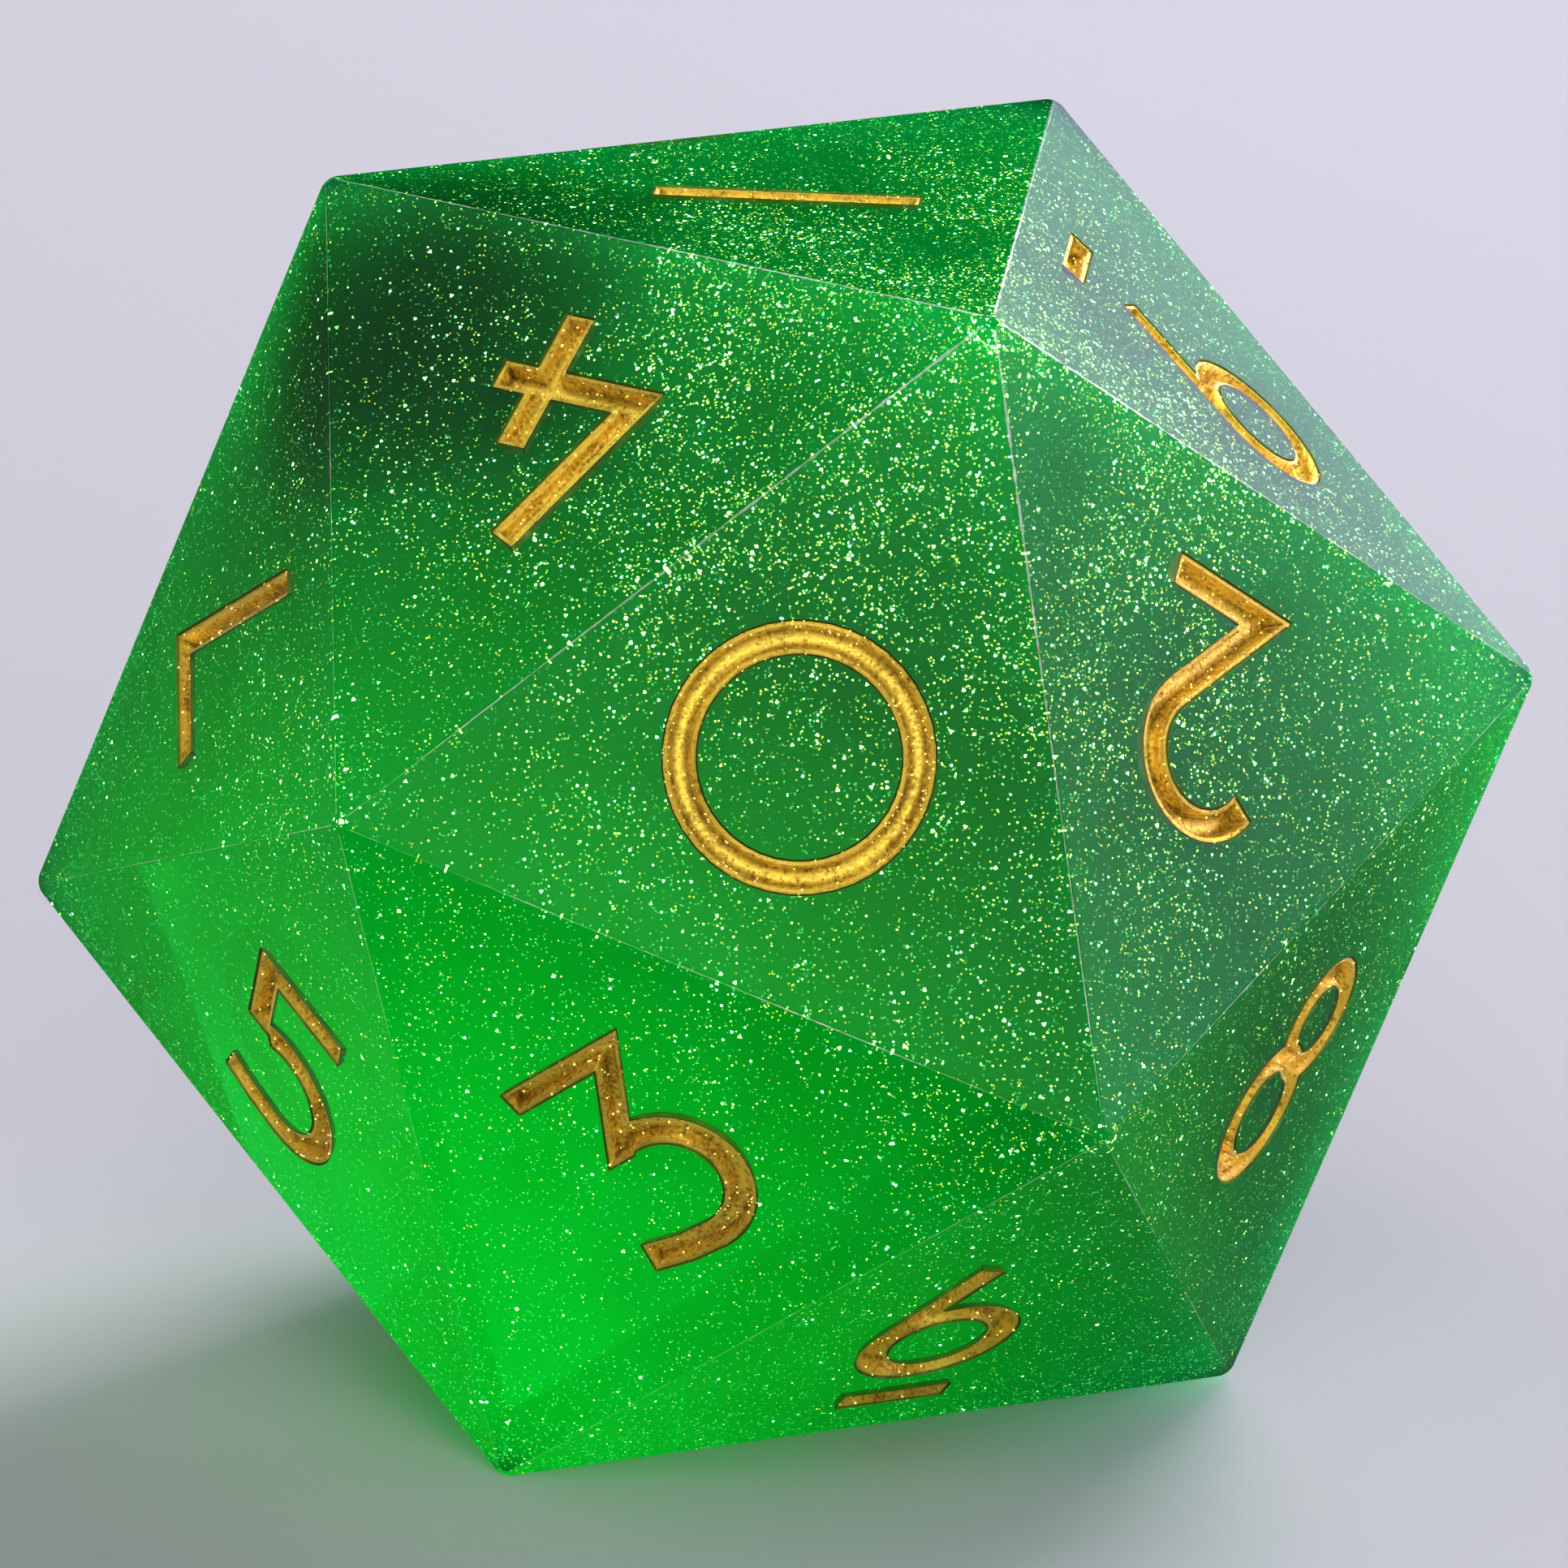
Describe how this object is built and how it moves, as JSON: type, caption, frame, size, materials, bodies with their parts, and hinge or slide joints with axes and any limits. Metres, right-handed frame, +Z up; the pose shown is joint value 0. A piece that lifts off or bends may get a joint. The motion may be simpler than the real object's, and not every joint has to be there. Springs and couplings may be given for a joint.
{
  "type": "polyhedral die",
  "caption": "Twenty-sided translucent resin die with softened edges, engraved numerals on every face and gold ink in the grooves.",
  "frame": {"origin": "middle of the resting face, under the die's centre", "axes": "+Z up through the opposite, upper face; the front edge of the resting face runs along X on the -Y side"},
  "size_m": [0.0214, 0.0246, 0.02],
  "materials": {
    "green_resin": "polished translucent green cast resin with fine glitter",
    "gold_ink": "metallic gold ink with fine grain"
  },
  "bodies": {
    "root": {"ink_0_back": "gold_ink", "ink_0_front": "gold_ink", "ink_1_back": "gold_ink", "ink_1_front": "gold_ink", "ink_2_back": "gold_ink", "ink_2_front": "gold_ink", "ink_3_back": "gold_ink", "ink_3_front": "gold_ink", "ink_4_back": "gold_ink", "ink_4_front": "gold_ink", "ink_5_back": "gold_ink", "ink_5_front": "gold_ink", "ink_6_back": "gold_ink", "ink_6_back_underline": "gold_ink", "ink_6_front": "gold_ink", "ink_6_front_underline": "gold_ink", "ink_7_back": "gold_ink", "ink_7_front": "gold_ink", "ink_8_back": "gold_ink", "ink_8_front": "gold_ink", "ink_9_back": "gold_ink", "ink_9_back_underline": "gold_ink", "ink_9_front": "gold_ink", "ink_9_front_underline": "gold_ink", "resin_body": "green_resin"}
  },
  "joints": []
}
